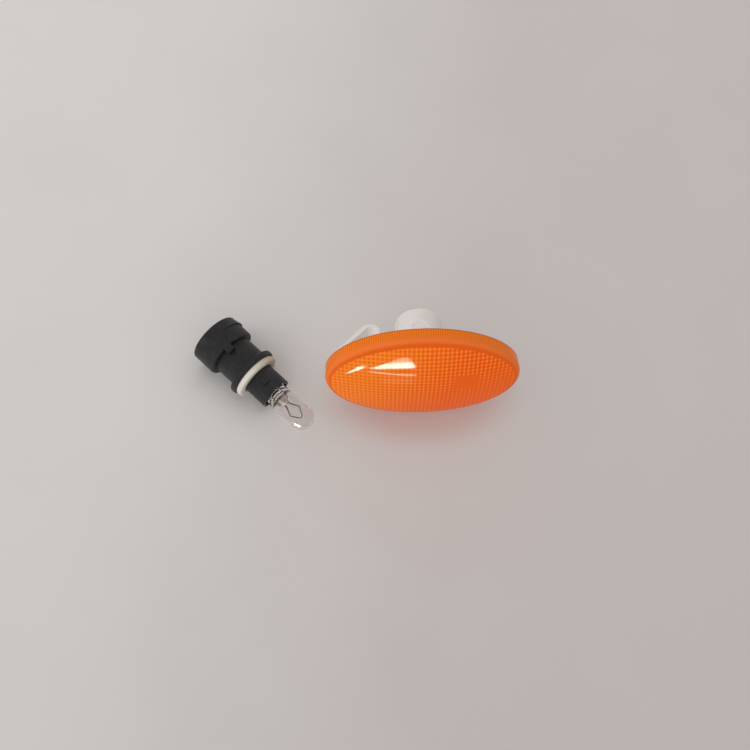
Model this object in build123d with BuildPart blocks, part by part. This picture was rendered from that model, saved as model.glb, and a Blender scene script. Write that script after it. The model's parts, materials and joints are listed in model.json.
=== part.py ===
from build123d import *
import os
from math import acos, atan2, ceil, cos, degrees, hypot, radians, sin, sqrt

# Side repeater lamp: an amber oval lens on a white housing, and its bulb holder taken out beside it.
# Sizes are in millimetres.

# Lens. Its z runs out through the dome, from the plane of its rear rim.
lens_length = 78.0
lens_width = 46.0
lens_wall = 2.2
lens_draft = 0.3
wall_height = 6.2        # where the side wall and the dome would meet without the rounded shoulder
dome_rise = 4.8
shoulder_radius = 3.2
rim_wall = 1.2           # wall left beside the housing plate
rib_count = 216
rib_depth = 0.4
rib_height = 2.0
ledge_height = 0.5       # smooth step between the ribs and the prisms
prism_margin = 1.0       # smooth border between the wall and the prisms
prism_pitch_long = 1.78
prism_pitch_short = 1.87
prism_depth = 0.45
plain_patch_x = 18.5     # smooth patch left in the prisms
plain_patch_y = -2.6
plain_patch_length = 11.0
plain_patch_width = 5.7

# Housing. Plate behind the lens, tube for the bulb, spring clip and fixed hook for the wing panel.
plate_thickness = 1.8
plate_recess = 0.3
plate_clearance = 0.1
tube_diameter = 19.8
tube_wall = 1.8
tube_length = 24.0
tube_edge_radius = 0.5
tube_end_wall = 2.0
flat_depth = 0.9         # arched flat on the crest of the tube
flat_end = 16.8
clip_width = 12.0
clip_thickness = 1.7
clip_leg = 17.5          # from the lens centre to the middle of the leg
clip_corner = 23.5       # where the middle lines of leg and leaf would cross, behind the rim
clip_bend_radius = 3.0
clip_tip_reach = 33.9
clip_tip_height = 4.5
clip_tip_radius = 2.5
root_radius = 0.6        # where the tube, clip and hook grow out of the plate
hook_width = 10.0
hook_leg = 27.0
hook_thickness = 2.4
hook_reach = 3.2
hook_height = 6.4
panel_gap = 2.4          # room for the wing panel under the hook

# Bulb holder. Its z runs from the open end of the connector shroud to the bulb.
shroud_diameter = 22.4
shroud_length = 10.8
shroud_wall = 1.8
shroud_floor = 1.6
shoulder_edge = 0.8
mouth_edge = 0.5
collar_setback = 0.6     # raised collar on one side of the shroud, from the mouth
collar_sink = 0.12       # how far the collar's start lies under the shroud's surface
collar_end = 4.6
collar_lean = 0.8        # how far the collar's end stands off to its side
collar_angle = -8.0
barrel_diameter = 17.8
barrel_length = 10.2
flange_diameter = 22.4
flange_thickness = 2.6
flange_edge_radius = 0.9
flange_root_radius = 0.8
neck_diameter = 14.0
neck_length = 12.7
neck_bore_diameter = 11.8
neck_bore_depth = 9.3
lug_count = 2
lug_width = 2.8
lug_length = 2.8
lug_height = 1.0
lug_setback = 3.0        # from the seal ring to the lugs
lug_angle = 83.0
lug_clearance = 0.2
nib_width = 3.4
nib_offset = 0.8         # from the crest of the shroud to the middle of the nib
nib_length = 5.4
nib_height = 0.9
nib_overhang = 2.4       # how far the locking nib runs on past the shoulder
nib_root = 1.0           # how deep the nib is rooted in the wall
seal_width = 2.6
seal_depth = 3.4
seal_edge_radius = 0.9

# Terminals. Stamped strips: a blade in the shroud, a fork on the wedge of the bulb.
blade_width = 2.8
blade_thickness = 0.8
blade_spacing = 6.4
blade_setback = 2.2
blade_chamfer = 0.25
finger_thickness = 0.5
finger_flare = 1.3
finger_flare_length = 1.2
terminal_clearance = 0.05

# Bulb. Clear glass on a flat wedge base.
bulb_diameter = 10.3
bulb_length = 26.8
bulb_reach = 19.8        # how far the glass stands out of the neck
glass_wall = 0.7
wedge_width = 9.5
wedge_thickness = 2.4
wedge_length = 5.6
wedge_edge_radius = 1.0
throat_length = 3.6      # from the wedge to the round glass
heel_height = 1.6        # where the inside of the throat meets the round wall
mound_height = 4.2       # solid glass inside the throat, round the wires
mound_radius = 1.8
wire_diameter = 0.5
wire_spacing = 4.4
wire_pinch_spacing = 2.0
wire_tip_spacing = 5.0
wire_tip_height = 10.2   # above the mouth of the neck
wire_fold_length = 4.0
wire_bend_radius = 0.6
filament_diameter = 0.4
filament_rise = 5.2
filament_stub = 0.6
filament_bend_radius = 1.0
filament_foot_radius = 0.3

# Where the holder lies on the table, from the middle of the lens rim, and which way it points
holder_x = -86.56
holder_y = 16.85
holder_heading = -43.4

# Worked out from the sizes above
half_length = lens_length / 2
half_width = lens_width / 2
dome_top = wall_height + dome_rise
dome_radius_long = (half_length**2 + dome_rise**2) / (2 * dome_rise)
dome_radius_short = (half_width**2 + dome_rise**2) / (2 * dome_rise)
plate_top = plate_recess + plate_thickness
rib_top = plate_top + rib_height
ledge_top = rib_top + ledge_height
prism_inset = lens_wall + prism_margin
tube_radius = tube_diameter / 2
keyhole_radius = neck_diameter / 2 + lug_clearance
flange_start = shroud_length + barrel_length
flange_end = flange_start + flange_thickness
neck_end = flange_end + neck_length
bulb_tip = neck_end + bulb_reach
wedge_end = bulb_tip - bulb_length
fork_gap = wedge_thickness / 2 + wire_diameter + terminal_clearance


def dome_height(x, y):
    fall = dome_radius_short - sqrt(dome_radius_short**2 - y**2)
    return dome_top - dome_radius_long + sqrt((dome_radius_long - fall) ** 2 - x**2)


def ceiling(x, y, rise=0.0):
    return Vector(x, y, dome_height(x, y) - lens_wall + rise)


def facet(*corners):
    return Face(Wire.make_polygon(corners))


def along(edge, share):
    return edge.position_at(edge.length * share, PositionMode.LENGTH)


def on_plain_patch(x, y):
    inside_length = abs(x - plain_patch_x) < plain_patch_length / 2
    inside_width = abs(y - plain_patch_y) < plain_patch_width / 2
    return inside_length and inside_width


# Hollow behind the optics: a field of shallow four-sided prisms that follows the dome
columns = 2 * ceil((half_length - prism_inset) / prism_pitch_long)
rows = 2 * ceil((half_width - prism_inset) / prism_pitch_short)
xs = [(i - columns / 2) * prism_pitch_long for i in range(columns + 1)]
ys = [(j - rows / 2) * prism_pitch_short for j in range(rows + 1)]
prism_faces = []
for x0, x1 in zip(xs, xs[1:]):
    for y0, y1 in zip(ys, ys[1:]):
        corners = [ceiling(x0, y0), ceiling(x1, y0), ceiling(x1, y1), ceiling(x0, y1)]
        middle = ((x0 + x1) / 2, (y0 + y1) / 2)
        peak = ceiling(*middle, 0.0 if on_plain_patch(*middle) else prism_depth)
        prism_faces += [facet(a, b, peak) for a, b in zip(corners, corners[1:] + corners[:1])]
for x in (xs[0], xs[-1]):
    prism_faces.append(facet((x, ys[-1], plate_top), (x, ys[0], plate_top), *[ceiling(x, y) for y in ys]))
for y in (ys[0], ys[-1]):
    prism_faces.append(facet((xs[-1], y, plate_top), (xs[0], y, plate_top), *[ceiling(x, y) for x in xs]))
prism_faces.append(facet(*[(x, y, plate_top) for x, y in
                           ((xs[0], ys[0]), (xs[-1], ys[0]), (xs[-1], ys[-1]), (xs[0], ys[-1]))]))

with BuildPart() as prism_hollow:
    add(Solid(Shell(prism_faces)))
    with BuildSketch(Plane.XY.offset(ledge_top)):
        Ellipse(half_length - prism_inset, half_width - prism_inset)
    extrude(amount=dome_top, mode=Mode.INTERSECT, clean=False)

# Whole hollow of the lens: rebate for the housing plate, ribbed skirt, smooth step and prisms
with BuildPart() as lens_inside:
    with BuildSketch(Plane.XY):
        Ellipse(half_length - rim_wall, half_width - rim_wall)
    extrude(amount=plate_top)
    # Fine upright ribs round the inside of the skirt
    crest = Edge.make_ellipse(half_length - lens_wall, half_width - lens_wall)
    root = Edge.make_ellipse(half_length - lens_wall + rib_depth, half_width - lens_wall + rib_depth)
    zigzag = []
    for i in range(rib_count):
        zigzag += [along(crest, i / rib_count), along(root, (i + 0.5) / rib_count)]
    with BuildSketch(Plane.XY.offset(plate_top)):
        with BuildLine():
            Polyline(*zigzag, close=True)
        make_face()
    extrude(amount=rib_height)
    with BuildSketch(Plane.XY.offset(rib_top)):
        Ellipse(half_length - lens_wall, half_width - lens_wall)
    extrude(amount=ledge_height)
    add(prism_hollow.part, clean=False)

with BuildPart() as lens_outside:
    with BuildSketch(Plane.XY):
        Ellipse(half_length, half_width)
    with BuildSketch(Plane.XY.offset(dome_top)):
        Ellipse(half_length - lens_draft, half_width - lens_draft)
    loft()
    # Dome: an arc across the lens swung round a long radius
    with BuildSketch(Plane.YZ):
        with BuildLine():
            crown = ThreePointArc((-half_width, wall_height), (0, dome_top), (half_width, wall_height))
            Polyline(crown @ 1, (half_width, -dome_top), (-half_width, -dome_top), crown @ 0)
        make_face()
    revolve(axis=Axis((0, 0, dome_top - dome_radius_long), (0, 1, 0)), mode=Mode.INTERSECT)
    fillet(lens_outside.faces().sort_by(Axis.Z)[-1].outer_wire().edges(), shoulder_radius)

# The flat rear rim joins the outside to the inside
with BuildSketch(Plane.XY) as lens_rim:
    Ellipse(half_length, half_width)
    Ellipse(half_length - rim_wall, half_width - rim_wall, mode=Mode.SUBTRACT)

with BuildPart() as lens:
    outer_skin = lens_outside.faces().sort_by(Axis.Z)[1:]
    inner_skin = lens_inside.faces().sort_by(Axis.Z)[1:]
    add(Solid(Shell([*outer_skin, *lens_rim.faces(), *inner_skin])))

with BuildPart() as housing:
    with BuildSketch(Plane.XY.offset(plate_recess)):
        Ellipse(half_length - rim_wall - plate_clearance, half_width - rim_wall - plate_clearance)
    extrude(amount=plate_thickness)
    with BuildSketch(Plane.XY.offset(-tube_length)):
        Circle(tube_radius)
    extrude(amount=tube_length + plate_top)
    fillet(housing.edges().filter_by(GeomType.CIRCLE).sort_by(Axis.Z)[0], tube_edge_radius)
    # Spring clip: leg, bend and sloping leaf
    with BuildSketch(Plane.XZ):
        with BuildLine():
            FilletPolyline((-clip_leg, plate_top), (-clip_leg, -clip_corner),
                           (-clip_tip_reach, -clip_tip_height), radius=clip_bend_radius)
        trace(line_width=clip_thickness)
    extrude(amount=clip_width / 2, both=True)
    clip_tip = housing.faces().filter_by(GeomType.PLANE).sort_by(Axis.X)[0]
    fillet(clip_tip.edges().sort_by(SortBy.LENGTH)[:2], clip_tip_radius)
    # Fixed hook at the other end
    with BuildSketch(Plane.XZ):
        with BuildLine():
            Polyline((hook_leg, plate_top), (hook_leg, -hook_height),
                     (hook_leg + hook_thickness, -hook_height),
                     (hook_leg + hook_thickness + hook_reach, -panel_gap - hook_thickness / 2),
                     (hook_leg + hook_thickness + hook_reach, -panel_gap),
                     (hook_leg + hook_thickness, -panel_gap),
                     (hook_leg + hook_thickness, plate_top), close=True)
        make_face()
    extrude(amount=hook_width / 2, both=True)
    # Moulded radii round the feet of the clip, the hook and the tube
    plate_rear = housing.faces().filter_by(Axis.Z).sort_by(SortBy.AREA)[-2]
    fillet(plate_rear.inner_wires().edges(), root_radius)
    # Way through for the bulb, with a keyhole for the holder's lugs in the end wall
    with BuildSketch(Plane.XY.offset(plate_top)):
        Circle(tube_radius - tube_wall)
    extrude(amount=tube_end_wall - tube_length - plate_top, mode=Mode.SUBTRACT)
    with BuildSketch(Plane.XY.offset(-tube_length)):
        Circle(keyhole_radius)
        with PolarLocations(keyhole_radius, lug_count, start_angle=90):
            Rectangle(2 * lug_height, lug_width + 2 * lug_clearance)
    extrude(amount=tube_end_wall, mode=Mode.SUBTRACT)
    # Arched flat on the crest of the tube
    flat_half_width = sqrt(tube_radius**2 - (tube_radius - flat_depth) ** 2)
    with BuildSketch(Plane.XZ.offset(flat_depth - tube_radius)):
        with Locations((0, flat_half_width - flat_end)):
            Circle(flat_half_width)
        with Locations((0, 0)):
            Rectangle(2 * flat_half_width, flat_end - flat_half_width, align=(Align.CENTER, Align.MAX))
    extrude(amount=-tube_radius, mode=Mode.SUBTRACT)

with BuildPart() as bulb_holder:
    # Turned outline: shroud, barrel, flange and neck
    with BuildSketch(Plane.XZ):
        with BuildLine():
            Polyline((0, 0), (shroud_diameter / 2, 0),
                     (shroud_diameter / 2, shroud_length), (barrel_diameter / 2, shroud_length),
                     (barrel_diameter / 2, flange_start), (flange_diameter / 2, flange_start),
                     (flange_diameter / 2, flange_end), (neck_diameter / 2, flange_end),
                     (neck_diameter / 2, neck_end), (0, neck_end), close=True)
        make_face()
    revolve(axis=Axis.Z)
    # Edges of the outline in steps, from the mouth up: mouth, shoulder, the two sides of the flange
    for step, place, edge_radius in ((3, -1, flange_edge_radius), (2, -1, flange_edge_radius),
                                     (2, 0, flange_root_radius), (1, -1, shoulder_edge),
                                     (0, -1, mouth_edge)):
        steps = bulb_holder.edges().filter_by(GeomType.CIRCLE).group_by(Axis.Z)
        fillet(steps[step].sort_by(SortBy.RADIUS)[place], edge_radius)
    # Raised collar: a slice of the shroud that leans out to one side and ends in a step
    collar_radius = shroud_diameter / 2 - collar_sink
    with BuildSketch(Plane.XY.offset(collar_setback)):
        Circle(collar_radius)
    with BuildSketch(Plane.XY.offset(collar_end)):
        with PolarLocations(collar_lean, 1, start_angle=collar_angle):
            Circle(collar_radius)
    loft()
    # Locking nib for the plug, over the shoulder
    nib_end = shroud_length + nib_overhang
    nib_start = nib_end - nib_length
    shroud_root = shroud_diameter / 2 - nib_root
    barrel_root = barrel_diameter / 2 - nib_root
    with BuildSketch(Plane.YZ.offset(nib_offset)):
        with BuildLine():
            Polyline((shroud_root, nib_start), (shroud_diameter / 2, nib_start),
                     (shroud_diameter / 2 + nib_height, shroud_length), (shroud_diameter / 2, nib_end),
                     (barrel_root, nib_end), (barrel_root, shroud_length - nib_root), close=True)
        make_face()
    extrude(amount=nib_width / 2, both=True)
    # Bayonet lugs
    lug_start = flange_end + seal_width + lug_setback
    with BuildSketch(Plane.XY.offset(lug_start)):
        with PolarLocations(neck_diameter / 2, lug_count, start_angle=lug_angle):
            Rectangle(2 * lug_height, lug_width)
    extrude(amount=lug_length)
    # Shroud for the plug, bore for the bulb
    with BuildSketch(Plane.XY):
        Circle(shroud_diameter / 2 - shroud_wall)
    extrude(amount=shroud_length - shroud_floor, mode=Mode.SUBTRACT)
    with BuildSketch(Plane.XY.offset(neck_end)):
        Circle(neck_bore_diameter / 2)
    extrude(amount=-neck_bore_depth, mode=Mode.SUBTRACT)
    # Slots that hold the terminals
    with BuildSketch(Plane.XY):
        with GridLocations(blade_spacing, 0, 2, 1):
            Rectangle(blade_width + 2 * terminal_clearance, blade_thickness + 2 * terminal_clearance)
    extrude(amount=neck_end - neck_bore_depth, mode=Mode.SUBTRACT)

with BuildPart() as seal_ring:
    with BuildSketch(Plane.XZ):
        with Locations((neck_diameter / 2 + seal_depth / 2, flange_end + seal_width / 2)):
            RectangleRounded(seal_depth, seal_width, seal_edge_radius)
    revolve(axis=Axis.Z)


def make_terminal(middle):
    # A blade that ends in a fork, cut out of strip and set edge on
    fork_base = neck_end - neck_bore_depth
    fork_tip = neck_end - finger_flare_length
    outside = fork_gap + finger_thickness
    with BuildPart() as terminal:
        with BuildSketch(Plane.YZ.offset(middle - blade_width / 2)):
            with Locations((0, blade_setback)):
                Rectangle(blade_thickness, fork_base - blade_setback, align=(Align.CENTER, Align.MIN))
            with Locations((0, fork_base)):
                Rectangle(2 * outside, finger_thickness, align=(Align.CENTER, Align.MIN))
            with BuildLine():
                Polyline((fork_gap, fork_base), (fork_gap, fork_tip), (fork_gap + finger_flare, neck_end),
                         (outside + finger_flare, neck_end), (outside, fork_tip), (outside, fork_base),
                         close=True)
            finger = make_face()
            mirror(finger, about=Plane.YZ)
        extrude(amount=blade_width)
        tip = terminal.faces().sort_by(Axis.Z)[0]
        chamfer(tip.edges(), blade_chamfer)
    return terminal


terminal_left = make_terminal(-blade_spacing / 2)
terminal_right = make_terminal(blade_spacing / 2)

# Wires: folded back over the wedge, up through the glass and splayed to the filament
wire_middle = wire_diameter / 2
fold_end = wedge_end - wire_middle
fold_side = wedge_thickness / 2 + wire_middle
pinch_top = wedge_end + wedge_length + throat_length
mound_top = pinch_top + mound_height
waist_height = mound_top + wire_bend_radius
wire_tip = neck_end + wire_tip_height


def make_wire(side):
    foot = side * wire_spacing / 2
    waist = side * wire_pinch_spacing / 2
    end = side * wire_tip_spacing / 2
    with BuildPart() as wire:
        with BuildLine() as route:
            FilletPolyline((foot, side * fold_side, fold_end + wire_fold_length),
                           (foot, side * fold_side, fold_end), (foot, 0, fold_end),
                           (foot, 0, wedge_end + wedge_length), (waist, 0, waist_height), (end, 0, wire_tip),
                           radius=wire_bend_radius)
        with BuildSketch(Plane(route.line @ 0, z_dir=route.line % 0)):
            Circle(wire_diameter / 2)
        sweep()
    return wire


lead_wire_left = make_wire(-1)
lead_wire_right = make_wire(1)

with BuildPart() as filament:
    lean = Vector((wire_tip_spacing - wire_pinch_spacing) / 2, 0, wire_tip - waist_height).normalized()
    foot = Vector(wire_tip_spacing / 2, 0, wire_tip)
    stub = foot + lean * filament_stub
    with BuildLine() as route:
        FilletPolyline(foot, stub, (0, 0, wire_tip + filament_rise),
                       (-stub.X, 0, stub.Z), (-foot.X, 0, foot.Z),
                       radius=[filament_foot_radius, filament_bend_radius, filament_foot_radius])
    with BuildSketch(Plane(route.line @ 0, z_dir=route.line % 0)):
        Circle(filament_diameter / 2)
    sweep()

with BuildPart() as bulb_glass:
    radius = bulb_diameter / 2
    with BuildSketch(Plane.XZ):
        with BuildLine():
            Line((0, pinch_top), (radius, pinch_top))
            Line((radius, pinch_top), (radius, bulb_tip - radius))
            RadiusArc((radius, bulb_tip - radius), (0, bulb_tip), -radius)
            Line((0, bulb_tip), (0, pinch_top))
        make_face()
    revolve(axis=Axis.Z)
    # Flat wedge, blended into the round glass
    with BuildSketch(Plane.XY.offset(wedge_end)):
        RectangleRounded(wedge_width, wedge_thickness, wedge_edge_radius)
    extrude(amount=wedge_length)
    with BuildSketch(Plane.XY.offset(wedge_end + wedge_length)):
        RectangleRounded(wedge_width, wedge_thickness, wedge_edge_radius)
    with BuildSketch(Plane.XY.offset(pinch_top)):
        Circle(radius)
    loft()
    # Hollow, with a mound of solid glass round the wires
    inside = radius - glass_wall
    with BuildSketch(Plane.XZ):
        with BuildLine():
            RadiusArc((mound_radius, mound_top - mound_radius), (0, mound_top), -mound_radius)
            Line((mound_radius, mound_top - mound_radius), (mound_radius, pinch_top))
            Line((mound_radius, pinch_top), (inside, pinch_top + heel_height))
            Line((inside, pinch_top + heel_height), (inside, bulb_tip - radius))
            RadiusArc((inside, bulb_tip - radius), (0, bulb_tip - glass_wall), -inside)
            Line((0, bulb_tip - glass_wall), (0, mound_top))
        make_face()
    revolve(axis=Axis.Z, mode=Mode.SUBTRACT)
    for wire in (lead_wire_left, lead_wire_right):
        add(wire.part, mode=Mode.SUBTRACT)

# The lamp lies on the lower edge of its rim and the end of its tube, the holder on its shroud and flange
drop = half_width - tube_radius + tube_edge_radius
run = tube_length - tube_edge_radius
tilt = acos(tube_edge_radius / hypot(drop, run)) - atan2(run, drop)
heading = radians(holder_heading)
lamp_seat = Plane((0, 0, half_width * cos(tilt)), x_dir=(1, 0, 0), z_dir=(0, -cos(tilt), sin(tilt)))
holder_seat = Plane((holder_x, holder_y, shroud_diameter / 2), x_dir=(-sin(heading), cos(heading), 0),
                    z_dir=(cos(heading), sin(heading), 0))
lamp_pieces = {"lens": lens, "housing": housing}
holder_pieces = {
    "bulb_holder": bulb_holder,
    "seal_ring": seal_ring,
    "terminal_left": terminal_left,
    "terminal_right": terminal_right,
    "bulb_glass": bulb_glass,
    "lead_wire_left": lead_wire_left,
    "lead_wire_right": lead_wire_right,
    "filament": filament,
}
laid = {name: piece.part.moved(lamp_seat.location) for name, piece in lamp_pieces.items()}
laid |= {name: piece.part.moved(holder_seat.location) for name, piece in holder_pieces.items()}

# The origin is on the table under the middle of the whole
extent = Compound(list(laid.values())).bounding_box()
centre = Location((-extent.center().X, -extent.center().Y, 0))
os.makedirs("parts", exist_ok=True)
for name, piece in laid.items():
    placed = piece.moved(centre)
    placed.label = name
    export_step(placed, f"parts/{name}.step")
print("tilt of the lamp", round(degrees(tilt), 2), "shift", centre.position)
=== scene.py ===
import json
import math
import bpy
from mathutils import Matrix, Vector


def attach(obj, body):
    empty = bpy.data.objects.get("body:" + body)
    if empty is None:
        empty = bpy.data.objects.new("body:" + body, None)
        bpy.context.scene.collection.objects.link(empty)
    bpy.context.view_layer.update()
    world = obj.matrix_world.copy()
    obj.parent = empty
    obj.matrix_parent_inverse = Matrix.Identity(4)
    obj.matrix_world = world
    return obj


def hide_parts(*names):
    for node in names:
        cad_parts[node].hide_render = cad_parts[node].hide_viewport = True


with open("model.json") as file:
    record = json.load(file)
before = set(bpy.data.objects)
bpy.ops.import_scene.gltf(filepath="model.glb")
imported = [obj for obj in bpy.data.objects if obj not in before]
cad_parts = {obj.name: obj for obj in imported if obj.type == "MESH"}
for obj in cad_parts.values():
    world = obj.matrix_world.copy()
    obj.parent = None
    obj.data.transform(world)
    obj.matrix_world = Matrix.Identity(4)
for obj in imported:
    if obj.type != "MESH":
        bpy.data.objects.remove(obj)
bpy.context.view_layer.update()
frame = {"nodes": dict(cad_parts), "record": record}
mounts = {mount["name"]: mount for mount in frame["record"]["mounts"]}
mm = 0.001                        # in metres
endlessMm = 1e6                   # a half axis so long that its direction drops out
noiseMiddle = 0.5                 # noise lies round this value
falling = {"To Min": 1.0, "To Max": 0.0}  # a ramp from full to nothing
print("frame loaded:", sorted(frame["nodes"]))


def linearColour(hexText):
    values = [int(hexText[i:i + 2], 16) / 255 for i in (1, 3, 5)]
    return [v / 12.92 if v <= 0.04045 else ((v + 0.055) / 1.055) ** 2.4 for v in values] + [1.0]


def addNode(tree, kind, inputs=None, **settings):
    node = tree.nodes.new(kind)
    for name, value in settings.items():
        setattr(node, name, value)
    for name, value in (inputs or {}).items():
        if isinstance(value, bpy.types.NodeSocket):
            tree.links.new(value, node.inputs[name])
        else:
            node.inputs[name].default_value = value
    return node


def startMaterial(name):
    material = bpy.data.materials.new(name)
    material.use_nodes = True
    material.node_tree.nodes.clear()
    return material, material.node_tree


def endMaterial(tree, shader):
    addNode(tree, "ShaderNodeOutputMaterial", {"Surface": shader.outputs[0]})


def turnOf(mountName):
    # z runs against the mount's axis, into the object, and x lies level
    z = -Vector(mounts[mountName]["axis"])
    x = Vector((0, 0, 1)).cross(z).normalized()
    return Matrix((x, z.cross(x), z)).transposed().to_euler()


def placeFrom(tree, mountName):
    # Millimetres from a mount, along its own axes
    place = addNode(tree, "ShaderNodeTexCoord")
    local = addNode(tree, "ShaderNodeMapping",
                    {"Vector": place.outputs["Object"], "Location": mounts[mountName]["pos_m"],
                     "Rotation": turnOf(mountName), "Scale": (mm, mm, mm)}, vector_type="TEXTURE")
    return local.outputs[0]


def selectOnly(thing):
    bpy.ops.object.select_all(action="DESELECT")
    thing.select_set(True)
    bpy.context.view_layer.objects.active = thing


# Materials

acrylic = {
    "ridgeGlint": "#fca33c",          # painted light gathered along the edges of the prisms
    "cellShade": "#e86500",           # painted shade: the darker middle of each prism
    "deep": "#fdd6d6",            # painted shade: how the colour deepens where the prisms turn away
    "deepWay": (-0.9, 0.3, 0),    # towards the pale end of the oval
    "deepFromMm": 22.0,           # along that way, from the pale end to where it is deepest
    "deepToMm": -10.0,
    "prismMm": (1.69, 1.78),      # pitch of the pattern, along and up the oval
    "uprightFrom": -0.3,          # where an upright line starts, on a wave from -1 to 1
    "levelFrom": -0.6,            # where a level line starts
    "meshLight": 0.5,             # how light the lines are at the pale end
    "betweenDots": 0.35,          # how light a ridge is between its dots
    "rowLight": 0.2,              # how light the level lines are beside the ridges
    "even": 0.21,                 # how light the field is where the pattern fades
    "fadeWay": (-0.35, 1, 0),     # up the lens, leaning to its pale end
    "fadeFromMm": -12.0,          # along that way, from the faintest pattern to a crisp one
    "fadeToMm": 2.0,
    "faintest": 0.5,
    "patchMm": (16.5, 2.6, 0.0),  # patch without prisms
    "patchHalfMm": (5.2, 3.8, endlessMm),
    "patchEdge": (0.75, 1.2),     # where it ends, as shares of its half sides
    "fieldMm": (36.9, 20.6, endlessMm),  # half axes of the prism field
    "fieldEdge": (0.98, 1.0),     # where it ends, as shares of them
    "shoulder": "#e67430",
    "border": "#dc5c14",          # painted shade on the smooth step between the shoulder and the prisms
    "borderMm": 6.3,              # height at which it meets the shoulder
    "borderSoftMm": 0.4,
    # painted light and shade of the ribs
    "ribLight": "#f28422",
    "ribDark": "#d8640c",
    "ribCount": 216,
    "ribSway": -0.0201,           # in turns, how far the angle is put right
    "ribTopMm": 4.1,
    "ribSoftMm": 0.2,
    "outlineMm": (39.0, 23.0, endlessMm),
    # painted shade: a dark line along the rear rim, where the lens meets the housing
    "rearEdgeShade": "#b84a08",
    "rearMm": (0.15, 0.5),        # heights between which the rear edge ends
    "ior": 1.49,
    "transmission": 0.1,
    "shine": 0.11,
    "roughness": (0.03, 0.075),
    "hazeMm": 9.0,
    "hazeDetail": 3.0,
}


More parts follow.
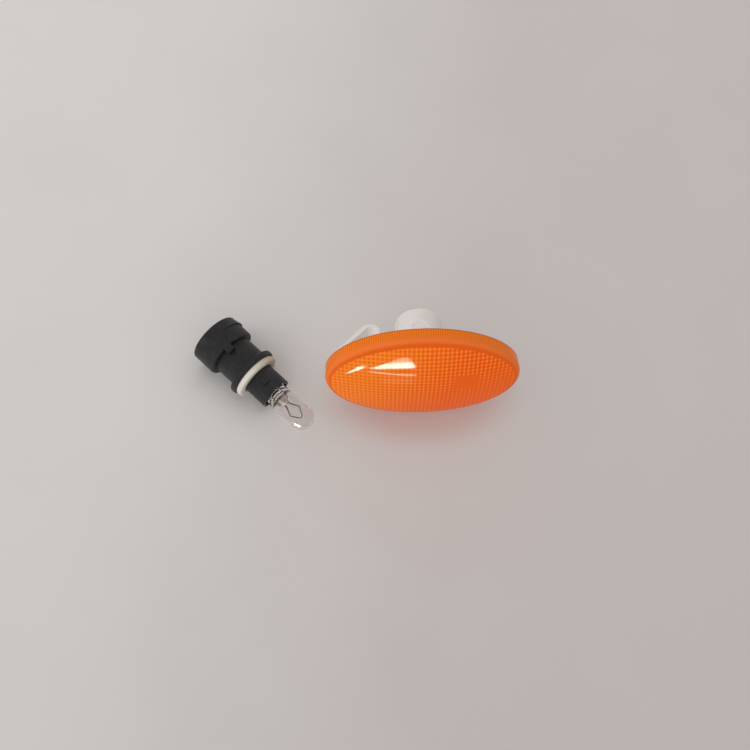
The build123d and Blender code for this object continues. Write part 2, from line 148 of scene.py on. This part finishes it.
def makeAmberAcrylic():
    # Moulded amber PMMA, polished outside. The light that its inner prisms and ribs gather in dots and lines
    # is painted into its colour, with painted shade between them
    material, tree = startMaterial("amberAcrylic")
    place = placeFrom(tree, "wing_seat")
    axes = addNode(tree, "ShaderNodeSeparateXYZ", {0: place})
    # Prism field, in painted light and shade: a mesh of pale lines at one end, then upright ridges with dots
    # on them, fading low down
    steps = [2 * math.pi / pitch for pitch in acrylic["prismMm"]]
    turns = addNode(tree, "ShaderNodeVectorMath", {0: place, 1: (*steps, 0)}, operation="MULTIPLY")
    waves = addNode(tree, "ShaderNodeVectorMath", {0: turns.outputs[0]}, operation="COSINE")
    halves = addNode(tree, "ShaderNodeSeparateXYZ", {0: waves.outputs[0]})
    upright = addNode(tree, "ShaderNodeMapRange",
                      {"Value": halves.outputs[0], "From Min": acrylic["uprightFrom"]})
    level = addNode(tree, "ShaderNodeMapRange",
                    {"Value": halves.outputs[1], "From Min": acrylic["levelFrom"]})
    hollow = addNode(tree, "ShaderNodeMapRange",
                     {"Value": halves.outputs[1], "From Min": acrylic["levelFrom"],
                      "To Min": acrylic["meshLight"], "To Max": 0.0})
    rows = addNode(tree, "ShaderNodeMath", {0: level.outputs[0], 1: acrylic["meshLight"]},
                   operation="MULTIPLY")
    mesh = addNode(tree, "ShaderNodeMath", {0: upright.outputs[0], 1: hollow.outputs[0], 2: rows.outputs[0]},
                   operation="MULTIPLY_ADD")
    dots = addNode(tree, "ShaderNodeMapRange",
                   {"Value": level.outputs[0], "To Min": acrylic["betweenDots"]})
    columns = addNode(tree, "ShaderNodeMath", {0: upright.outputs[0], 1: dots.outputs[0]},
                      operation="MULTIPLY")
    beads = addNode(tree, "ShaderNodeMath",
                    {0: level.outputs[0], 1: acrylic["rowLight"], 2: columns.outputs[0]},
                    operation="MULTIPLY_ADD")
    along = addNode(tree, "ShaderNodeVectorMath", {0: place, 1: acrylic["deepWay"]}, operation="DOT_PRODUCT")
    depth = addNode(tree, "ShaderNodeMapRange",
                    {"Value": along.outputs["Value"], "From Min": acrylic["deepFromMm"],
                     "From Max": acrylic["deepToMm"]})
    pattern = addNode(tree, "ShaderNodeMix", {0: depth.outputs[0], 2: mesh.outputs[0], 3: beads.outputs[0]})
    height = addNode(tree, "ShaderNodeVectorMath", {0: place, 1: acrylic["fadeWay"]}, operation="DOT_PRODUCT")
    crisp = addNode(tree, "ShaderNodeMapRange",
                    {"Value": height.outputs["Value"], "From Min": acrylic["fadeFromMm"],
                     "From Max": acrylic["fadeToMm"], "To Min": acrylic["faintest"]})
    patch = addNode(tree, "ShaderNodeMapping",
                    {"Vector": place, "Location": acrylic["patchMm"], "Scale": acrylic["patchHalfMm"]},
                    vector_type="TEXTURE")
    apart = addNode(tree, "ShaderNodeVectorMath", {0: patch.outputs[0]}, operation="ABSOLUTE")
    sides = addNode(tree, "ShaderNodeSeparateXYZ", {0: apart.outputs[0]})
    edge = addNode(tree, "ShaderNodeMath", {0: sides.outputs[0], 1: sides.outputs[1]}, operation="MAXIMUM")
    patchStart, patchEnd = acrylic["patchEdge"]
    outside = addNode(tree, "ShaderNodeMapRange",
                      {"Value": edge.outputs[0], "From Min": patchStart, "From Max": patchEnd})
    seen = addNode(tree, "ShaderNodeMath", {0: crisp.outputs[0], 1: outside.outputs[0]}, operation="MULTIPLY")
    lit = addNode(tree, "ShaderNodeMix", {0: seen.outputs[0], 2: acrylic["even"], 3: pattern.outputs[0]})
    # Painted light and shade of the prisms, from the darker cells to the lit ridges
    bright = addNode(tree, "ShaderNodeMix",
                     {0: lit.outputs[0], 6: linearColour(acrylic["cellShade"]),
                      7: linearColour(acrylic["ridgeGlint"])}, data_type="RGBA")
    # Painted shade deepens the colour towards the far end of the oval
    prisms = addNode(tree, "ShaderNodeMix",
                     {0: depth.outputs[0], 6: bright.outputs[2], 7: linearColour(acrylic["deep"])},
                     data_type="RGBA", blend_type="MULTIPLY")
    share = addNode(tree, "ShaderNodeVectorMath", {0: place, 1: acrylic["fieldMm"]}, operation="DIVIDE")
    reach = addNode(tree, "ShaderNodeVectorMath", {0: share.outputs[0]}, operation="LENGTH")
    fieldStart, fieldEnd = acrylic["fieldEdge"]
    field = addNode(tree, "ShaderNodeMapRange",
                    {"Value": reach.outputs["Value"], "From Min": fieldStart, "From Max": fieldEnd,
                     **falling})
    step = addNode(tree, "ShaderNodeMapRange",
                   {"Value": axes.outputs[2], "From Min": acrylic["borderMm"] - acrylic["borderSoftMm"],
                    "From Max": acrylic["borderMm"] + acrylic["borderSoftMm"]})
    # The smooth shoulder, with painted shade darkening it towards the prisms
    smooth = addNode(tree, "ShaderNodeMix",
                     {0: step.outputs[0], 6: linearColour(acrylic["shoulder"]),
                      7: linearColour(acrylic["border"])}, data_type="RGBA")
    domed = addNode(tree, "ShaderNodeMix", {0: field.outputs[0], 6: smooth.outputs[2], 7: prisms.outputs[2]},
                    data_type="RGBA")
    # Ribs as painted light and dark stripes at even steps along the oval: its angle, put right for the longer
    # way round the ends
    oval = addNode(tree, "ShaderNodeVectorMath", {0: place, 1: acrylic["outlineMm"]}, operation="DIVIDE")
    angle = addNode(tree, "ShaderNodeTexGradient", {0: oval.outputs[0]}, gradient_type="RADIAL")
    double = addNode(tree, "ShaderNodeMath", {0: angle.outputs[1], 1: 4 * math.pi}, operation="MULTIPLY")
    sway = addNode(tree, "ShaderNodeMath", {0: double.outputs[0]}, operation="SINE")
    even = addNode(tree, "ShaderNodeMath",
                   {0: sway.outputs[0], 1: acrylic["ribSway"], 2: angle.outputs[1]},
                   operation="MULTIPLY_ADD")
    count = addNode(tree, "ShaderNodeMath", {0: even.outputs[0], 1: 2.0 * acrylic["ribCount"]},
                    operation="MULTIPLY")
    rib = addNode(tree, "ShaderNodeMath", {0: count.outputs[0], 1: 1.0}, operation="PINGPONG")
    ribs = addNode(tree, "ShaderNodeMix",
                   {0: rib.outputs[0], 6: linearColour(acrylic["ribLight"]),
                    7: linearColour(acrylic["ribDark"])}, data_type="RGBA")
    skirt = addNode(tree, "ShaderNodeMapRange",
                    {"Value": axes.outputs[2], "From Min": acrylic["ribTopMm"] - acrylic["ribSoftMm"],
                     "From Max": acrylic["ribTopMm"] + acrylic["ribSoftMm"], **falling})
    walled = addNode(tree, "ShaderNodeMix", {0: skirt.outputs[0], 6: domed.outputs[2], 7: ribs.outputs[2]},
                     data_type="RGBA")
    # A painted shadow line along the rear rim
    rearStart, rearEnd = acrylic["rearMm"]
    rear = addNode(tree, "ShaderNodeMapRange",
                   {"Value": axes.outputs[2], "From Min": rearStart, "From Max": rearEnd, **falling})
    tone = addNode(tree, "ShaderNodeMix",
                   {0: rear.outputs[0], 6: walled.outputs[2], 7: linearColour(acrylic["rearEdgeShade"])},
                   data_type="RGBA")
    haze = addNode(tree, "ShaderNodeTexNoise",
                   {"Vector": place, "Scale": 1 / acrylic["hazeMm"], "Detail": acrylic["hazeDetail"]})
    smoothest, roughest = acrylic["roughness"]
    rough = addNode(tree, "ShaderNodeMapRange",
                    {"Value": haze.outputs[0], "To Min": smoothest, "To Max": roughest})
    shader = addNode(tree, "ShaderNodeBsdfPrincipled",
                     {"Base Color": tone.outputs[2], "IOR": acrylic["ior"],
                      "Specular IOR Level": acrylic["shine"],
                      "Transmission Weight": acrylic["transmission"], "Roughness": rough.outputs[0]})
    endMaterial(tree, shader)
    return material


plastic = {
    "colour": "#dddad7",
    "shade": "#d4d0cd",
    "mottleMm": 12.0,
    "bleed": 0.4,                 # share of the light that spreads inside the thin walls
    "bleedMm": 2.0,               # how far it spreads
    "bleedTint": (1.0, 0.8, 0.65),
    "ior": 1.53,
    "roughness": 0.42,
    "grainMm": 0.35,
    "grainDepthMm": 0.02,
    "grainBump": 0.12,
}


def makeWhiteAbs():
    # Moulded white ABS: satin, faintly warm, with the grain of a sparked mould
    material, tree = startMaterial("whiteAbs")
    place = placeFrom(tree, "wing_seat")
    mottle = addNode(tree, "ShaderNodeTexNoise", {"Vector": place, "Scale": 1 / plastic["mottleMm"]})
    tone = addNode(tree, "ShaderNodeMix",
                   {0: mottle.outputs[0], 6: linearColour(plastic["colour"]),
                    7: linearColour(plastic["shade"])}, data_type="RGBA")
    grain = addNode(tree, "ShaderNodeTexNoise", {"Vector": place, "Scale": 1 / plastic["grainMm"]})
    bump = addNode(tree, "ShaderNodeBump",
                   {"Strength": plastic["grainBump"], "Distance": plastic["grainDepthMm"] * mm,
                    "Height": grain.outputs[0]})
    shader = addNode(tree, "ShaderNodeBsdfPrincipled",
                     {"Base Color": tone.outputs[2], "Roughness": plastic["roughness"],
                      "IOR": plastic["ior"], "Subsurface Weight": plastic["bleed"],
                      "Subsurface Scale": plastic["bleedMm"] * mm,
                      "Subsurface Radius": plastic["bleedTint"], "Normal": bump.outputs[0]})
    endMaterial(tree, shader)
    return material


nylon = {
    "colour": "#151517",
    "worn": "#2a292a",
    "wornFrom": 0.48,             # noise at which the worn patches start, and at which they are full
    "wornTo": 0.78,
    "scuffMm": 4.0,
    "scuffDetail": 6.0,
    "scuffRoughness": 0.65,
    "ior": 1.53,
    "roughness": 0.5,
    "grainMm": 0.3,
    "grainDepthMm": 0.03,
    "grainBump": 0.3,
}


def makeBlackNylon():
    # Moulded black nylon: dull, fine grained, rubbed a little grey in patches
    material, tree = startMaterial("blackNylon")
    place = placeFrom(tree, "plug_shroud")
    scuff = addNode(tree, "ShaderNodeTexNoise",
                    {"Vector": place, "Scale": 1 / nylon["scuffMm"], "Detail": nylon["scuffDetail"],
                     "Roughness": nylon["scuffRoughness"]})
    patches = addNode(tree, "ShaderNodeMapRange",
                      {"Value": scuff.outputs[0], "From Min": nylon["wornFrom"], "From Max": nylon["wornTo"]})
    tone = addNode(tree, "ShaderNodeMix",
                   {0: patches.outputs[0], 6: linearColour(nylon["colour"]), 7: linearColour(nylon["worn"])},
                   data_type="RGBA")
    grain = addNode(tree, "ShaderNodeTexNoise", {"Vector": place, "Scale": 1 / nylon["grainMm"]})
    bump = addNode(tree, "ShaderNodeBump",
                   {"Strength": nylon["grainBump"], "Distance": nylon["grainDepthMm"] * mm,
                    "Height": grain.outputs[0]})
    shader = addNode(tree, "ShaderNodeBsdfPrincipled",
                     {"Base Color": tone.outputs[2], "Roughness": nylon["roughness"], "IOR": nylon["ior"],
                      "Normal": bump.outputs[0]})
    endMaterial(tree, shader)
    return material


silicone = {
    "colour": "#d4cfc5",
    # painted shade, brown, with the dust mixed in
    "dustAndShade": "#a8937c",
    "shadeFromMm": 1.0,           # across the ring, from the middle to the end in painted shade
    "shadeToMm": 11.0,
    "shadeMost": 0.75,
    "dust": 0.2,                  # how much the dust adds to the painted shade
    "dustMm": 3.5,
    "dustDetail": 4.0,
    "ior": 1.41,
    "roughness": 0.6,
}


def makeCreamSilicone():
    # Moulded cream silicone rubber: matt and soft looking, with a little dust and painted shade turning it
    # brown towards one side
    material, tree = startMaterial("creamSilicone")
    place = placeFrom(tree, "plug_shroud")
    axes = addNode(tree, "ShaderNodeSeparateXYZ", {0: place})
    # Painted shade browns the ring towards one side, with a little dust on top
    side = addNode(tree, "ShaderNodeMapRange",
                   {"Value": axes.outputs[0], "From Min": silicone["shadeFromMm"],
                    "From Max": silicone["shadeToMm"], "To Max": silicone["shadeMost"]})
    dust = addNode(tree, "ShaderNodeTexNoise",
                   {"Vector": place, "Scale": 1 / silicone["dustMm"], "Detail": silicone["dustDetail"]})
    dustAndShade = addNode(tree, "ShaderNodeMath", {0: dust.outputs[0], 1: silicone["dust"], 2: side.outputs[0]},
                    operation="MULTIPLY_ADD")
    tone = addNode(tree, "ShaderNodeMix",
                   {0: dustAndShade.outputs[0], 6: linearColour(silicone["colour"]),
                    7: linearColour(silicone["dustAndShade"])}, data_type="RGBA")
    shader = addNode(tree, "ShaderNodeBsdfPrincipled",
                     {"Base Color": tone.outputs[2], "Roughness": silicone["roughness"],
                      "IOR": silicone["ior"]})
    endMaterial(tree, shader)
    return material


brass = {
    "colour": "#9d9484",
    "tarnish": "#6e5436",
    "streakMm": 1.5,
    "streakDetail": 4.0,
    "roughness": 0.42,
}


def makeTinnedBrass():
    # Tinned brass strip: grey metal with the brass showing where it was rubbed
    material, tree = startMaterial("tinnedBrass")
    place = placeFrom(tree, "plug_shroud")
    streak = addNode(tree, "ShaderNodeTexNoise",
                     {"Vector": place, "Scale": 1 / brass["streakMm"], "Detail": brass["streakDetail"]})
    tone = addNode(tree, "ShaderNodeMix",
                   {0: streak.outputs[0], 6: linearColour(brass["colour"]),
                    7: linearColour(brass["tarnish"])}, data_type="RGBA")
    shader = addNode(tree, "ShaderNodeBsdfPrincipled",
                     {"Base Color": tone.outputs[2], "Metallic": 1.0, "Roughness": brass["roughness"]})
    endMaterial(tree, shader)
    return material


glass = {
    "colour": "#f7f4f3",
    "ior": 1.5,
    "rippleMm": 5.0,
    "rippleDepthMm": 0.05,
    "rippleBump": 0.1,
    "core": "#b8aca2",            # cloudy glass where it was pinched round the wires
    "coreRadiusMm": 2.1,
    "coreSideMm": 0.5,            # how far it thins out to the side
    "coreTopMm": 42.8,
    "coreEndMm": 0.3,             # how far it thins out above its top
    "coreClear": 0.65,
    "coreRoughness": 0.3,
}


def makeClearGlass():
    # Blown soda-lime glass: clear, with the slight ripple of a machine-blown bulb and a cloudy pinched core
    material, tree = startMaterial("clearGlass")
    place = placeFrom(tree, "plug_shroud")
    axes = addNode(tree, "ShaderNodeSeparateXYZ", {0: place})
    flat = addNode(tree, "ShaderNodeVectorMath", {0: place, 1: (1, 1, 0)}, operation="MULTIPLY")
    radius = addNode(tree, "ShaderNodeVectorMath", {0: flat.outputs[0]}, operation="LENGTH")
    core = addNode(tree, "ShaderNodeMapRange",
                   {"Value": radius.outputs["Value"], "From Min": glass["coreRadiusMm"],
                    "From Max": glass["coreRadiusMm"] + glass["coreSideMm"], **falling})
    low = addNode(tree, "ShaderNodeMapRange",
                  {"Value": axes.outputs[2], "From Min": glass["coreTopMm"],
                   "From Max": glass["coreTopMm"] + glass["coreEndMm"], **falling})
    cloud = addNode(tree, "ShaderNodeMath", {0: core.outputs[0], 1: low.outputs[0]}, operation="MULTIPLY")
    tint = addNode(tree, "ShaderNodeMix",
                   {0: cloud.outputs[0], 6: linearColour(glass["colour"]), 7: linearColour(glass["core"])},
                   data_type="RGBA")
    clear = addNode(tree, "ShaderNodeMapRange",
                    {"Value": cloud.outputs[0], "To Min": 1.0, "To Max": glass["coreClear"]})
    rough = addNode(tree, "ShaderNodeMapRange",
                    {"Value": cloud.outputs[0], "To Max": glass["coreRoughness"]})
    ripple = addNode(tree, "ShaderNodeTexNoise", {"Vector": place, "Scale": 1 / glass["rippleMm"]})
    bump = addNode(tree, "ShaderNodeBump",
                   {"Strength": glass["rippleBump"], "Distance": glass["rippleDepthMm"] * mm,
                    "Height": ripple.outputs[0]})
    shader = addNode(tree, "ShaderNodeBsdfPrincipled",
                     {"Base Color": tint.outputs[2], "Transmission Weight": clear.outputs[0],
                      "IOR": glass["ior"], "Roughness": rough.outputs[0], "Normal": bump.outputs[0]})
    endMaterial(tree, shader)
    return material


nickel = {
    "colour": "#6f6863",
    "heated": "#3d3733",
    "heatMm": 2.0,
    "roughness": 0.38,
}


def makeNickelWire():
    # Drawn nickel wire, dulled by the heat of sealing
    material, tree = startMaterial("nickelWire")
    place = placeFrom(tree, "plug_shroud")
    heat = addNode(tree, "ShaderNodeTexNoise", {"Vector": place, "Scale": 1 / nickel["heatMm"]})
    tone = addNode(tree, "ShaderNodeMix",
                   {0: heat.outputs[0], 6: linearColour(nickel["colour"]),
                    7: linearColour(nickel["heated"])}, data_type="RGBA")
    shader = addNode(tree, "ShaderNodeBsdfPrincipled",
                     {"Base Color": tone.outputs[2], "Metallic": 1.0, "Roughness": nickel["roughness"]})
    endMaterial(tree, shader)
    return material


tungsten = {
    "colour": "#57534f",
    "drawMm": 0.8,
    "roughness": (0.35, 0.6),
}


def makeTungsten():
    # Drawn tungsten: dark grey metal
    material, tree = startMaterial("tungsten")
    place = placeFrom(tree, "plug_shroud")
    draw = addNode(tree, "ShaderNodeTexNoise", {"Vector": place, "Scale": 1 / tungsten["drawMm"]})
    smoothest, roughest = tungsten["roughness"]
    rough = addNode(tree, "ShaderNodeMapRange",
                    {"Value": draw.outputs[0], "To Min": smoothest, "To Max": roughest})
    shader = addNode(tree, "ShaderNodeBsdfPrincipled",
                     {"Base Color": linearColour(tungsten["colour"]), "Metallic": 1.0,
                      "Roughness": rough.outputs[0]})
    endMaterial(tree, shader)
    return material


finishes = {
    "amber_acrylic": makeAmberAcrylic(),
    "white_abs": makeWhiteAbs(),
    "black_nylon": makeBlackNylon(),
    "cream_silicone": makeCreamSilicone(),
    "tinned_brass": makeTinnedBrass(),
    "clear_glass": makeClearGlass(),
    "nickel_wire": makeNickelWire(),
    "tungsten": makeTungsten(),
}
print("materials made:", len(finishes))


# Pieces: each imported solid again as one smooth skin.
# Edges past the angle, in degrees, stay sharp. The lens, the housing and the glass cast no shadow

mergeMm = 0.0005
skins = {
    "amberLens": {"node": "lens", "slot": "amber_acrylic", "angle": 20, "shadow": False},
    "lampHousing": {"node": "housing", "slot": "white_abs", "angle": 30, "shadow": False},
    "bulbHolder": {"node": "bulb_holder", "slot": "black_nylon", "angle": 30},
    "sealRing": {"node": "seal_ring", "slot": "cream_silicone", "angle": 30},
    "terminalLeft": {"node": "terminal_left", "slot": "tinned_brass", "angle": 30},
    "terminalRight": {"node": "terminal_right", "slot": "tinned_brass", "angle": 30},
    "bulbGlass": {"node": "bulb_glass", "slot": "clear_glass", "angle": 40, "shadow": False},
    "leadWireLeft": {"node": "lead_wire_left", "slot": "nickel_wire", "angle": 60},
    "leadWireRight": {"node": "lead_wire_right", "slot": "nickel_wire", "angle": 60},
    "filamentArch": {"node": "filament", "slot": "tungsten", "angle": 60},
}


def makeSkin(name, skin):
    piece = bpy.data.objects.new(name, frame["nodes"][skin["node"]].data.copy())
    bpy.context.scene.collection.objects.link(piece)
    selectOnly(piece)
    bpy.ops.mesh.customdata_custom_splitnormals_clear()
    bpy.ops.object.mode_set(mode="EDIT")
    bpy.ops.mesh.select_all(action="SELECT")
    bpy.ops.mesh.remove_doubles(threshold=mergeMm * mm)
    bpy.ops.object.mode_set(mode="OBJECT")
    bpy.ops.object.shade_smooth_by_angle(angle=math.radians(skin["angle"]))
    piece.data.materials.clear()
    piece.data.materials.append(finishes[skin["slot"]])
    piece.visible_shadow = skin.get("shadow", True)
    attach(piece, "root")
    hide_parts(skin["node"])
    return piece


pieces = {name: makeSkin(name, skin) for name, skin in skins.items()}
print("skins made:", len(pieces))


# Floor, light and camera

board = {
    "side": 3.0,                  # metres
    "light": "#d8d5d3",
    "dark": "#cac3c1",
    "fadeTurn": 0.2,              # the way the painted shade darkens it, turned from the right towards the front
    "fadeFromMm": -105.0,         # along that way, where it starts to darken and where it stops
    "fadeToMm": 50.0,
    "mottle": 0.6,                # how much the mottle adds to the painted shade
    "mottleMm": 60.0,
    "mottleDetail": 5.0,
    "amber": "#c4ada8",           # painted shadow before the lens, tinted amber for the light that comes through it
    "amberMm": (29.0, -8.0, 0.0),
    "amberHalfMm": (24.0, 14.0, 1.0),
    "amberReach": 2.0,            # where the amber ends, as a share of its half axes
}


def makeFloor():
    bpy.ops.object.select_all(action="DESELECT")
    bpy.ops.mesh.primitive_plane_add(size=board["side"])
    floor = bpy.context.object
    floor.name = "floor"
    # Painted board: pale and dull, faintly mottled, with painted shade darkening it towards the right and a
    # painted amber shadow before the lens
    material, tree = startMaterial("paleBoard")
    place = addNode(tree, "ShaderNodeTexCoord").outputs["Object"]
    # Painted shade: the floor darkens towards the right and a little to the front
    way = (math.cos(board["fadeTurn"]), -math.sin(board["fadeTurn"]), 0)
    along = addNode(tree, "ShaderNodeVectorMath", {0: place, 1: way}, operation="DOT_PRODUCT")
    across = addNode(tree, "ShaderNodeMapRange",
                     {"Value": along.outputs["Value"], "From Min": board["fadeFromMm"] * mm,
                      "From Max": board["fadeToMm"] * mm})
    mottle = addNode(tree, "ShaderNodeTexNoise",
                     {"Vector": place, "Scale": 1 / (board["mottleMm"] * mm),
                      "Detail": board["mottleDetail"]})
    centred = addNode(tree, "ShaderNodeMath", {0: mottle.outputs[0], 1: noiseMiddle}, operation="SUBTRACT")
    share = addNode(tree, "ShaderNodeMath", {0: centred.outputs[0], 1: board["mottle"], 2: across.outputs[0]},
                    operation="MULTIPLY_ADD")
    tone = addNode(tree, "ShaderNodeMix",
                   {0: share.outputs[0], 6: linearColour(board["light"]), 7: linearColour(board["dark"])},
                   data_type="RGBA")
    # Painted amber shadow on the floor before the lens
    beside = addNode(tree, "ShaderNodeMapping",
                     {"Vector": place, "Location": Vector(board["amberMm"]) * mm,
                      "Scale": Vector(board["amberHalfMm"]) * mm}, vector_type="TEXTURE")
    away = addNode(tree, "ShaderNodeVectorMath", {0: beside.outputs[0]}, operation="LENGTH")
    amber = addNode(tree, "ShaderNodeMapRange",
                    {"Value": away.outputs["Value"], "From Min": board["amberReach"], "From Max": 1.0},
                    interpolation_type="SMOOTHSTEP")
    tinted = addNode(tree, "ShaderNodeMix",
                     {0: amber.outputs[0], 6: tone.outputs[2], 7: linearColour(board["amber"])},
                     data_type="RGBA")
    shader = addNode(tree, "ShaderNodeBsdfDiffuse", {"Color": tinted.outputs[2]})
    endMaterial(tree, shader)
    floor.data.materials.append(material)


def gather(name, things):
    group = bpy.data.collections.new(name)
    for thing in things:
        group.objects.link(thing)
    return group


# A bright window low in front, as cards that only the gloss of the lens reflects.
# Corners are x and height in mm: low left, low right, top left, top right
windowColour = "#fff4e2"
window = {
    "streakPane": {"farMm": -120, "glow": 80, "corners": [(-42, 4), (-40, 7), (-27, 36), (-21, 35)]},
    "mainPane": {"farMm": -200, "glow": 75, "corners": [(-34, 31), (31, 42), (-10, 58), (28, 66)]},
    "upperPane": {"farMm": -200, "glow": 23, "corners": [(-10, 58), (28, 66), (9, 82), (19, 82)]},
    "sillPane": {"farMm": -200, "glow": 26, "corners": [(-30, 15), (32, 9), (-36, 20), (32, 15)]},
    "lowPane": {"farMm": -95, "glow": 2.0, "corners": [(0, 2), (28, 2), (2, 16), (26, 18)]},
}


def makeWindow():
    lit = gather("windowLit", [pieces["amberLens"]])
    for name, card in window.items():
        bpy.ops.mesh.primitive_plane_add()
        pane = bpy.context.object
        pane.name = name
        for vertex, (x, height) in zip(pane.data.vertices, card["corners"]):
            vertex.co = Vector((x, card["farMm"], height)) * mm
        material, tree = startMaterial(name + "Glow")
        shader = addNode(tree, "ShaderNodeEmission",
                         {"Color": linearColour(windowColour), "Strength": card["glow"]})
        endMaterial(tree, shader)
        pane.data.materials.append(material)
        pane.visible_camera = False
        pane.visible_diffuse = False
        pane.visible_transmission = False
        pane.visible_shadow = False
        pane.light_linking.receiver_collection = lit


room = {
    "colour": "#f4f2f0",
    "strength": 0.54,
}

# Places and sizes in metres, power in watts
lamps = {
    "keyLight": {"place": (0.5, 0.65, 1.65), "wide": 1.35, "high": 1.35, "power": 11.5},
    "frontLight": {"place": (-0.65, -1.35, 0.65), "wide": 1.8, "high": 1.0, "power": 13.0},
    "fillLight": {"place": (-1.0, 0.3, 0.5), "wide": 0.9, "high": 0.9, "power": 4.5},
    "bulbGlint": {"place": (-0.036, -0.047, 0.012), "wide": 0.026, "high": 0.014, "power": 0.024},
}
keyShadows = ["bulbHolder", "sealRing", "terminalLeft", "terminalRight"]


def makeAreaLight(name, lamp):
    bpy.ops.object.light_add(type="AREA", location=lamp["place"])
    light = bpy.context.object
    light.name = name
    light.data.shape = "RECTANGLE"
    light.data.size = lamp["wide"]
    light.data.size_y = lamp["high"]
    light.data.energy = lamp["power"]
    light.rotation_euler = (-Vector(lamp["place"])).to_track_quat("-Z", "Y").to_euler()
    light.visible_glossy = False
    light.visible_transmission = False
    return light


def makeLight():
    world = bpy.data.worlds.new("softRoom")
    bpy.context.scene.world = world
    world.use_nodes = True
    background = world.node_tree.nodes["Background"]
    background.inputs["Color"].default_value = linearColour(room["colour"])
    background.inputs["Strength"].default_value = room["strength"]
    lights = {name: makeAreaLight(name, lamp) for name, lamp in lamps.items()}
    # The key shines through what is clear or thin, and the front light misses the floor
    solid = [pieces[name] for name in keyShadows]
    lights["keyLight"].light_linking.blocker_collection = gather("keyBlockers", solid)
    lights["frontLight"].light_linking.receiver_collection = gather("frontLit", pieces.values())
    # The glint lights the bulb alone, which reflects it as a small pane
    lights["bulbGlint"].visible_glossy = True
    lights["bulbGlint"].light_linking.receiver_collection = gather("glintLit", [pieces["bulbGlass"]])


# Looks down from about 80 degrees above the floor
view = {
    "place": Vector((7.64, -45.765, 258.49)) * mm,
    "aim": Vector((8.70, -0.195, 0.0)) * mm,
    "lensMm": 28.8,
    "sensorMm": 36.0,
    "nearMm": 10.0,
}


def makeCamera():
    bpy.ops.object.camera_add(location=view["place"])
    camera = bpy.context.object
    camera.data.lens = view["lensMm"]
    camera.data.sensor_width = view["sensorMm"]
    camera.data.clip_start = view["nearMm"] * mm
    camera.rotation_euler = (view["aim"] - view["place"]).to_track_quat("-Z", "Y").to_euler()
    bpy.context.scene.camera = camera


makeFloor()
makeWindow()
makeLight()
makeCamera()
bpy.context.scene.view_settings.view_transform = "Standard"
print("stage set")
